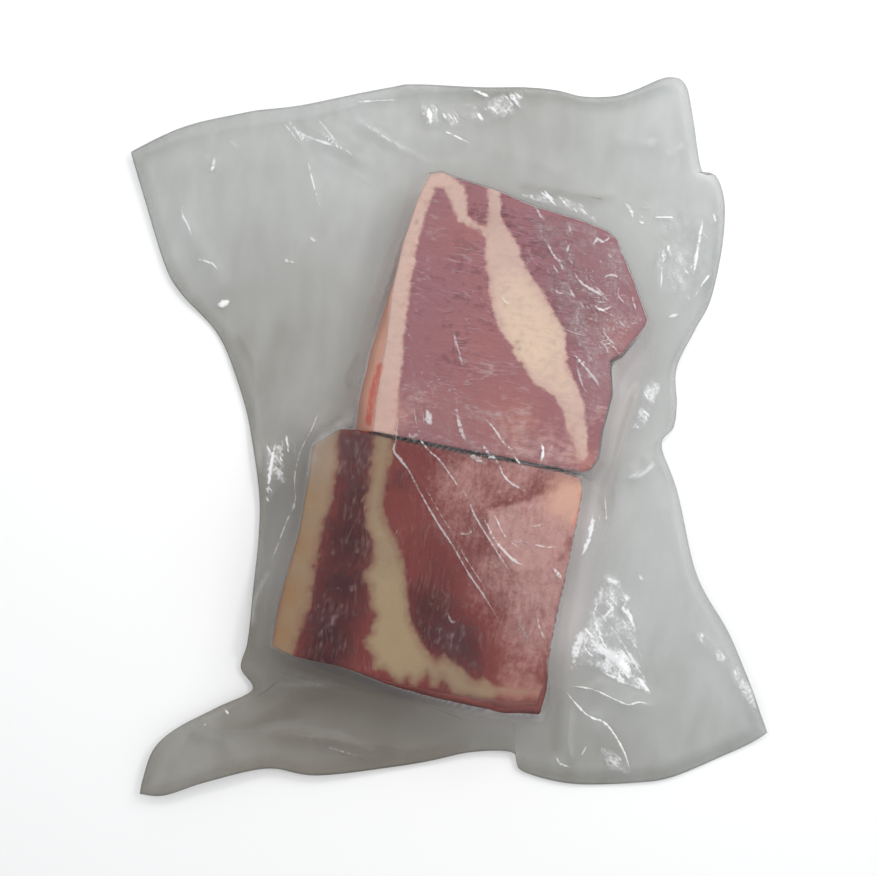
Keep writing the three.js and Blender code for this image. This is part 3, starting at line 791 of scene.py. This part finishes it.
def paintedShadeField(plane, level, free):
    # painted shade on the film: dimmer towards the lower left, in spots and in streaks
    paintedShade = smoothStep(-0.5, 1.5, -plane[:, 0] * 0.009 - plane[:, 1] * 0.007)
    paintedShade += spread(plane, bag["dim"]) - spread(plane, bag["clear"])
    streak = np.c_[plane @ ((0.9, 0.4), (-0.25, 0.3)), level[:, 2]]
    return paintedShade + roughness(level, 28, 8) * 0.12 + roughness(streak, 7, 21, 3) * 0.14 * free


def clingField(plane, away):
    # where the film lies on the meat; where it hangs loose, only over the face
    over = np.minimum(footField(plane), away)
    over += (away - over) * smoothStep(0.3, 0.6, spread(plane, bag["loose"])) * (away > 0)
    return smoothStep(0.3, -0.5, over)


def joinPlies(mesh, bottom):
    # the lower ply is a copy with much less of the painted glints and crease highlights, turned over
    # and welded to the upper one along the edges
    under = mesh.copy()
    writePlaces(under, bottom)
    bm = bmesh.new()
    bm.from_mesh(under)
    bmesh.ops.reverse_faces(bm, faces=bm.faces)
    for name in ("white", "bright0", "bright1"):
        layer = bm.verts.layers.float[name]
        for v in bm.verts:
            v[layer] *= 0.2
    bm.from_mesh(mesh)
    bmesh.ops.remove_doubles(bm, verts=bm.verts, dist=1e-6)
    bm.to_mesh(mesh)
    bm.free()
    bpy.data.meshes.remove(under)


def makeFilm():
    mesh, plane, edge = flatBag()
    level = np.c_[plane, 0 * edge]
    fields = meatFields(plane)
    clear = np.minimum(*(distance - runOut for distance, _, runOut, _ in fields))
    away = np.minimum(*(distance for distance, _, _, _ in fields))
    free = smoothStep(0, 20, clear)
    # the upper ply's height: skirt, walls, crumpling and creases
    climb = np.maximum(*(wallHeight(d, runOut, height) for d, _, runOut, height in fields))
    upper = np.maximum(skirtHeight(plane, np.maximum(clear, 0)), climb)
    upper += (roughness(level, 34, 2, 1) * 1.6 + roughness(level, 15, 1, 1) * 0.5) * free
    white, share = patchField(plane, patches)
    upper += share * np.abs(roughness(level, 4.5, 4)) * (0.35 + 0.7 * free)
    layers = [creaseField(plane, rows) for rows in (creases, crossCreases)]
    for distance, found in layers:
        upper += found["rise"] * np.exp(-((distance / bag["creaseHalf"]) ** 2))
    lower = np.minimum(upper - bag["ply"], np.interp(clear, *np.array(bowl).T))
    top, bottom = np.c_[plane, upper], np.c_[plane, lower]
    ends = edge < 1e-4
    bottom[ends] = top[ends]
    writePlaces(mesh, top)
    # what the material reads
    brim = edge * (cadBox[1][0] - cadBox[0][0]) / mm
    beside = np.exp(-((np.maximum(clear, 0) / bag["paintedLightReach"]) ** 2))
    shade = shadeField(plane)
    values = {
        "cling": clingField(plane, away), "paintedLight": spread(plane, bag["paintedLight"]) * beside,
        "paintedShade": paintedShadeField(plane, level, free), "rim": smoothStep(bag["weld"], 0, brim),
        "white": white, "share": share,
        "shade": np.where(shade < 0, shade * smoothStep(0, 3, clear), shade),
        "out0": fields[0][0], "out1": fields[1][0],
    }
    for k, (distance, found) in enumerate(layers):
        values[f"across{k}"] = found["across"] / np.maximum(found["wide"], 0.1)
        values[f"bright{k}"] = found["bright"] * smoothStep(4, 2.6, distance)
    for name, value in values.items():
        setAttribute(mesh, name, value)
    joinPlies(mesh, bottom)
    mesh.shade_smooth()
    piece = makeObject("bag_film", mesh)
    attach(piece, "root")
    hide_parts("sealed_bag")
    return piece


# Materials

class Signal:
    # a socket, with Python's operators for its sums
    def __init__(self, finish, socket):
        self.finish, self.socket = finish, socket

    def math(self, operation, *others, swap=False):
        values = [self, *others]
        if swap:
            values.reverse()
        sockets = dict(enumerate(values))
        return self.finish.signal("Math", {"operation": operation}, sockets)

    def __add__(self, other):
        return self.math("ADD", other)

    def __sub__(self, other):
        return self.math("SUBTRACT", other)

    def __rsub__(self, other):
        return self.math("SUBTRACT", other, swap=True)

    def __mul__(self, other):
        return self.math("MULTIPLY", other)

    def __abs__(self):
        return self.math("ABSOLUTE")

    __radd__, __rmul__ = __add__, __mul__

    def most(self, other):
        return self.math("MAXIMUM", other)

    def least(self, other):
        return self.math("MINIMUM", other)

    def step(self, low, high):
        # a smooth step from 0 to 1 as the signal goes from low to high
        shape = {"interpolation_type": "SMOOTHSTEP"}
        return self.finish.signal("MapRange", shape, {
            "Value": self, "From Min": low, "From Max": high})


class Finish:
    # one material and its nodes
    def __init__(self, name):
        self.material = bpy.data.materials.new(name)
        self.material.use_nodes = True
        self.tree = self.material.node_tree
        self.shader = self.tree.nodes["Principled BSDF"]

    def plug(self, target, value):
        if isinstance(value, Signal):
            self.tree.links.new(value.socket, target)
        elif isinstance(value, bpy.types.NodeSocket):
            self.tree.links.new(value, target)
        else:
            target.default_value = value

    def node(self, kind, settings=None, sockets=None):
        made = self.tree.nodes.new("ShaderNode" + kind)
        for name, value in (settings or {}).items():
            setattr(made, name, value)
        for name, value in (sockets or {}).items():
            self.plug(made.inputs[name], value)
        return made

    def signal(self, kind, settings=None, sockets=None, output=0):
        return Signal(self, self.node(kind, settings, sockets).outputs[output])

    def attribute(self, name):
        return self.signal("Attribute", {"attribute_name": name}, output="Fac")

    def place(self, scale=(1, 1, 1), turn=0.0, shift=(0, 0, 0)):
        # object coordinates in millimetres, turned about Z, scaled and shifted
        where = self.node("TexCoord").outputs["Object"]
        turned = self.node("Mapping", {}, {
            "Vector": where, "Rotation": (0, 0, turn), "Scale": (1 / mm, 1 / mm, 1 / mm)})
        return self.node("Mapping", {}, {
            "Vector": turned.outputs[0], "Scale": scale, "Location": shift}).outputs[0]

    def pair(self, x, y):
        return self.node("CombineXYZ", {}, {"X": x, "Y": y}).outputs[0]

    def noise(self, where, size, detail=2.0, rough=0.5, dimensions="3D"):
        settings = {"noise_dimensions": dimensions}
        return self.signal("TexNoise", settings, {
            "Vector": where, "Scale": 1 / size, "Detail": detail, "Roughness": rough})

    def mix(self, share, first, second):
        made = self.node("Mix", {"data_type": "RGBA"})
        for index, value in ((0, share), (6, first), (7, second)):
            if isinstance(value, tuple):
                value = (*value, 1)
            self.plug(made.inputs[index], value)
        return made.outputs[2]

    def finish(self, sockets):
        for name, value in sockets.items():
            if isinstance(value, tuple):
                value = (*value, 1)
            self.plug(self.shader.inputs[name], value)
        return self.material


beefLook = {
    "brick": (0.145, 0.030, 0.029),
    "scarlet": (0.17, 0.040, 0.036),
    "deep": (0.034, 0.0072, 0.0095),
    "plum": (0.080, 0.037, 0.041),
    "gore": (0.09, 0.016, 0.015),
    "mauve": (0.235, 0.098, 0.112),
    "rose": (0.285, 0.105, 0.10),
    "mauveDeep": (0.14, 0.046, 0.058),
    "haze": (0.45, 0.255, 0.235),
    "frost": (0.48, 0.40, 0.43),
    "salmon": (0.52, 0.30, 0.225),
    "fat": (0.49, 0.335, 0.285),
    "cream": (0.58, 0.43, 0.325),
    "dusty": (0.36, 0.26, 0.235),
    "tan": (0.235, 0.166, 0.107),
    "olive": (0.285, 0.208, 0.122),
    "bone": (0.29, 0.21, 0.16),
    "amber": (0.235, 0.127, 0.058),
    "rust": (0.185, 0.092, 0.062),
    "blush": (0.42, 0.20, 0.165),
    "wall": (0.80, 0.39, 0.28),
    "brickWall": (0.36, 0.062, 0.052),
    "blood": (0.62, 0.07, 0.05),
    "speck": (0.12, 0.085, 0.06),
}


def leanColour(beef, field):
    # base, its deeper parts, paler clouds, threads and frost
    look = beefLook
    dark, pale, frost, red, salmon, plum, mauve = (field[name] for name in (
        "dark", "pale", "frost", "red", "salmon", "plum", "mauve"))
    blotch, mottle, fibre, grit = (field[name] for name in ("blotch", "mottle", "fibre", "grit"))
    strong = mauve * 0.6 + 0.34 - dark * 0.1
    tone = beef.mix(red, look["mauve"], look["rose"])
    tone = beef.mix(mauve, beef.mix(red, look["brick"], look["scarlet"]), tone)
    depth = beef.mix(mauve, look["deep"], look["mauveDeep"])
    shade = dark + (blotch + mottle * 1.6 + fibre * 1.8 + grit * 0.5) * strong
    tone = beef.mix(shade.step(0.1, 1.1), tone, depth)
    bruise = (fibre * 1.2 - blotch * 0.5 + mottle * 0.9 + plum).step(0.1, 1.1)
    tone = beef.mix(bruise * plum.step(0, 0.4) * 0.75, tone, look["plum"])
    wisp = (mottle * 1.1 + fibre * 0.9).step(0.08, 0.6) * (dark - mauve).step(0.3, 0.9)
    tone = beef.mix(wisp * 0.19, tone, look["haze"])
    ground = 1 - dark * 0.75
    fine = fibre * (mauve * 0.7 + 0.4) + grit * 0.5
    veil = pale + (blotch * (0.25 + mauve * 0.3) + mottle * (0.3 + mauve * 0.4) + fine) * ground
    tone = beef.mix(veil.step(0.15, 1.2) * 0.9, tone, look["haze"])
    patchy = (salmon + blotch * 0.2 + mottle * 0.2).step(0, 1.05)
    tone = beef.mix(patchy, tone, look["salmon"])
    thread = field["web"].step(0.04, 0.004) * (mottle + blotch).step(-0.25, 0.35)
    thread = thread * (mauve * 0.12 + 0.12)
    tone = beef.mix(thread + (fibre + grit * 0.5).step(0.16, 0.4) * (pale * 0.16 + 0.04),
                    tone, beef.mix(mauve, look["haze"], look["frost"]))
    icy = (grit * 1.5 + mottle * 0.6 + fibre * 0.5 + frost * 0.3).step(0.3, 0.75) * frost
    return beef.mix(icy * 0.75, tone, look["frost"])


def fatColour(beef, field):
    # creamy inside, pinker or rustier at its edges; the lower slab's is dimmer, partly a duller fat
    # and partly painted shade
    look = beefLook
    dark, pale, warm, red, salmon, wall, fat = (field[name] for name in (
        "dark", "pale", "warm", "red", "salmon", "wall", "fat"))
    blotch, mottle, fibre, grit = (field[name] for name in ("blotch", "mottle", "fibre", "grit"))
    edge = fat.step(-4.5, -0.3)
    # the lower slab's fat: a duller fat, its colours also darkened as painted shade
    dim = beef.mix((warm + mottle * 0.3).step(0.1, 0.9), look["tan"], look["olive"])
    dull = (mottle + blotch * 0.8 + fibre * 0.6).step(0, 0.9)
    dim = beef.mix(pale + dull * 0.45, dim, look["bone"])
    dim = beef.mix(red * 0.85, dim, look["amber"])
    dim = beef.mix((edge * (0.6 + mottle * 0.7) - blotch * 0.2).least(1), dim, look["rust"])
    dim = beef.mix(salmon * 0.8, dim, look["blush"])
    light = beef.mix((warm - edge * 0.3).step(0.05, 0.9), look["fat"], look["cream"])
    light = beef.mix(dark * 0.9, light, look["dusty"])
    rosy = edge * 0.5 + mottle * 0.7 + blotch * 0.5 + grit * 0.4
    light = beef.mix((rosy - 0.15).step(0, 0.8) * 0.5 + salmon * 0.4, light, look["blush"])
    worn = mottle * 1.1 + fibre * 1.4 + grit * 0.4 - edge * 0.1
    light = beef.mix((worn + 0.3).step(0, 1.0) * 0.45, light, look["dusty"])
    light = beef.mix(wall * 0.75, light, look["wall"])
    return beef.mix(field["mauve"], dim, light)


def beefMaterial():
    look = beefLook
    beef = Finish("raw_beef")
    field = {name: beef.attribute(name) for name in (
        "dark", "pale", "frost", "warm", "red", "salmon", "plum", "blood", "mauve", "wall", "fat")}
    field["blotch"] = blotch = beef.attribute("blotch") * 0.5
    field["mottle"] = mottle = beef.attribute("mottle") * 0.5
    along, across = beef.attribute("along"), beef.attribute("across")
    fibre = beef.noise(beef.pair(along * 0.22, across), 1.9, 3, 0.6, "2D") - 0.5
    grit = beef.noise(beef.place(), 1.1, 2, 0.6) - 0.5
    field["web"] = abs(beef.noise(beef.pair(along * 0.16, across), 3.4, 2, 0.55, "2D") - 0.5)
    field["fibre"], field["grit"] = fibre, grit
    mauve = field["mauve"]
    border = field["fat"] + mottle * 0.6 + grit * 1.4 + fibre * 1.2
    lean = border.step(mauve * 0.3 - 1.3, 1.3 - mauve * 0.3)
    colour = beef.mix(lean, fatColour(beef, field), leanColour(beef, field))
    colour = beef.mix(beef.attribute("speck"), colour, look["speck"])
    # the lower slab's sawn walls, and blood on the walls
    rough = mottle * 0.5 + grit * 0.8
    sawn = beef.mix((rough + blotch * 0.5).step(-0.5, 0.4), look["gore"], look["brickWall"])
    colour = beef.mix(field["wall"] * (0.9 - mauve), colour, sawn)
    splash = field["blood"] * (1 + mottle * 1.2 + grit)
    colour = beef.mix(splash.step(0.15, 0.9) * 0.75, colour, look["blood"])
    height = grit + fibre * lean + mottle * 0.4
    bump = beef.node("Bump", {}, {"Strength": 0.5, "Distance": 0.4 * mm, "Height": height})
    return beef.finish({
        "Base Color": colour, "Roughness": 0.5, "Specular IOR Level": 0.25,
        "Normal": bump.outputs[0],
    })


filmLook = {
    "cool": (0.30, 0.322, 0.305),
    # the colour of the painted shade, which the haze takes on where the film is darker
    "warm": (0.165, 0.145, 0.11),
    # the colour of the painted light beside the meat
    "paintedLightPink": (0.67, 0.625, 0.615),
    # a painted shadow over the gap between the slabs
    "seam": (0.05, 0.032, 0.04),
    # the colour of painted highlights, glints and sheen
    "bright": (0.93, 0.94, 0.95),
    "alpha": 0.275,
    "paintedShadeAlpha": 0.14,
    "paintedLightAlpha": 0.36,
    # the rim along the weld: partly the weld's own haze, partly painted shade
    "rimAlpha": 0.21,
    "clingAlpha": 0.02,
    "gapShadeAlpha": 0.5,
    "slant": -0.6,  # the way the crumpling leans
    "crumple": 5,
}


def filmMaterial():
    look = filmLook
    film = Finish("clear_film")
    names = ("cling", "paintedLight", "paintedShade", "white", "share", "shade", "rim")
    cling, paintedLight, paintedShade, white, share, shade, rim = (film.attribute(name) for name in names)
    gap = film.attribute("out0").most(film.attribute("out1"))
    broken = film.noise(film.place(), 6, 2, 0.5, "2D")
    # small folds, and how far they face the light: the fall from here to just ahead
    stretch = (1, 0.32, 1)
    fold = film.noise(film.place(stretch, look["slant"]), look["crumple"], 3, 0.5, "2D")
    ahead = film.noise(film.place(stretch, look["slant"], (0.8, 0, 0)), look["crumple"], 3, 0.5,
                       "2D")
    facing = abs(ahead - 0.5) - abs(fold - 0.5)
    # sharp creases: painted highlight lines, partly the film's whitening, and painted shade along the
    # dark ones, broken here and there, with the ridges under them
    creaseLightAndShade, ridge = None, None
    fleck = film.noise(film.place(), 1.5, 1, 0.5, "2D")
    ragged = 2.2 - broken - fold * 1.2 - fleck * 0.55
    for k in (0, 1):
        across = abs(film.attribute(f"across{k}"))
        bright = film.attribute(f"bright{k}")
        core = (across * ragged).step(1.25, 0.2) * bright
        tent = across.step(3.2, 0) * bright
        creaseLightAndShade = core if creaseLightAndShade is None else core + creaseLightAndShade
        ridge = tent if ridge is None else tent.most(ridge)
    creaseLightAndShade = creaseLightAndShade * (0.2 + (fold + fleck * 0.5).step(0.55, 0.85) * 0.6) * (1 - cling * 0.15)
    # painted glints and glow on the crumpled patches, and painted light and shade along the soft folds
    glint = facing.step(-0.01, 0.09) * (broken + white * 0.25).step(0.48, 0.85)
    glow = white * share * ((fold + broken * 0.6).step(0.6, 1.05) * fleck * 0.5 + 0.1)
    sheen = shade * (0.15 + fold * 0.4)
    lit = creaseLightAndShade.most(glint * white * share * 0.8).most(glow + sheen)
    # painted shade on the sides of the small folds that face away from the light
    paintedFoldShade = (0 - facing).step(0.0, 0.08) * share * white
    # all the painted shade together: it warms and darkens the haze and makes the film less clear
    paintedGloom = paintedShade - shade.least(0) + paintedFoldShade * 0.2 - creaseLightAndShade.least(0) * 2.5
    haze = film.mix(paintedGloom, look["cool"], look["warm"])
    # painted light beside the meat, pale and pinkish
    haze = film.mix(paintedLight, haze, look["paintedLightPink"])
    # painted shadow along the gap between the slabs
    paintedGapShade = gap.step(1.4, 0.4) * (1.3 - broken * 0.8)
    haze = film.mix(paintedGapShade, haze, look["seam"])
    # painted highlights, glints and sheen whiten the film and make it less clear
    colour = film.mix(lit.step(0, 0.36), haze, look["bright"])
    # the rim is partly the weld's own haze and partly painted shade
    clear = look["alpha"] + paintedGloom * look["paintedShadeAlpha"] + rim * look["rimAlpha"]
    clear = clear + paintedLight * look["paintedLightAlpha"]
    clear = clear + cling * (look["clingAlpha"] - clear) + paintedGapShade * look["gapShadeAlpha"]
    alpha = clear + lit * (0.92 - clear)
    height = fold * share * 0.6 + ridge * 0.4
    bump = film.node("Bump", {}, {"Strength": 1.0, "Distance": 1 * mm, "Height": height})
    return film.finish({
        "Base Color": colour, "Alpha": alpha, "Roughness": 0.38,
        "Normal": bump.outputs[0],
    })


# The set: floor, lamps and camera

studio = {
    "cameraHeight": 578,  # above the table
    "lens": 50,
    "sensor": 36,
    "middle": (-5.5, -0.95),
    "floor": (0.88, 0.88, 0.88),
    "dayColour": (0.98, 0.99, 1.0),
    "dayStrength": 0.72,
    "lamps": [
        {"at": (330, 330, 560), "size": 420, "watts": 1.7},
        {"at": (-330, 260, 700), "size": 500, "watts": 0.9},
        {"at": (420, 120, 800), "size": 70, "watts": 1.1},
        {"at": (60, 480, 760), "size": 70, "watts": 0.85},
    ],
}


def makeFloor():
    bm = bmesh.new()
    bmesh.ops.create_grid(bm, x_segments=1, y_segments=1, size=3)
    mesh = bpy.data.meshes.new("floor")
    bm.to_mesh(mesh)
    bm.free()
    floor = makeObject("floor", mesh)
    paint = Finish("floor")
    mesh.materials.append(paint.finish({"Base Color": studio["floor"], "Roughness": 0.9}))


def makeLights():
    for k, lamp in enumerate(studio["lamps"]):
        light = bpy.data.lights.new(f"lamp_{k}", "AREA")
        light.shape = "DISK"
        light.size = lamp["size"] * mm
        light.energy = lamp["watts"]
        holder = makeObject(f"lamp_{k}", light)
        holder.location = Vector(lamp["at"]) * mm
        holder.rotation_euler = (-holder.location).to_track_quat("-Z", "Y").to_euler()
    world = bpy.data.worlds.new("studio")
    world.use_nodes = True
    background = world.node_tree.nodes["Background"]
    background.inputs["Color"].default_value = (*studio["dayColour"], 1)
    background.inputs["Strength"].default_value = studio["dayStrength"]
    bpy.context.scene.world = world
    bpy.context.scene.view_settings.view_transform = "Standard"


def makeCamera():
    camera = bpy.data.cameras.new("camera")
    camera.lens, camera.sensor_width = studio["lens"], studio["sensor"]
    holder = makeObject("camera", camera)
    holder.location = Vector((*studio["middle"], studio["cameraHeight"])) * mm
    bpy.context.scene.camera = holder


makeFloor()
makeLights()
makeCamera()
report("floor, lamps and camera")
beef = beefMaterial()
for slab in (upperSlab, lowerSlab):
    makeSlab(slab).data.materials.append(beef)
report("slabs")
makeFilm().data.materials.append(filmMaterial())
report("film")
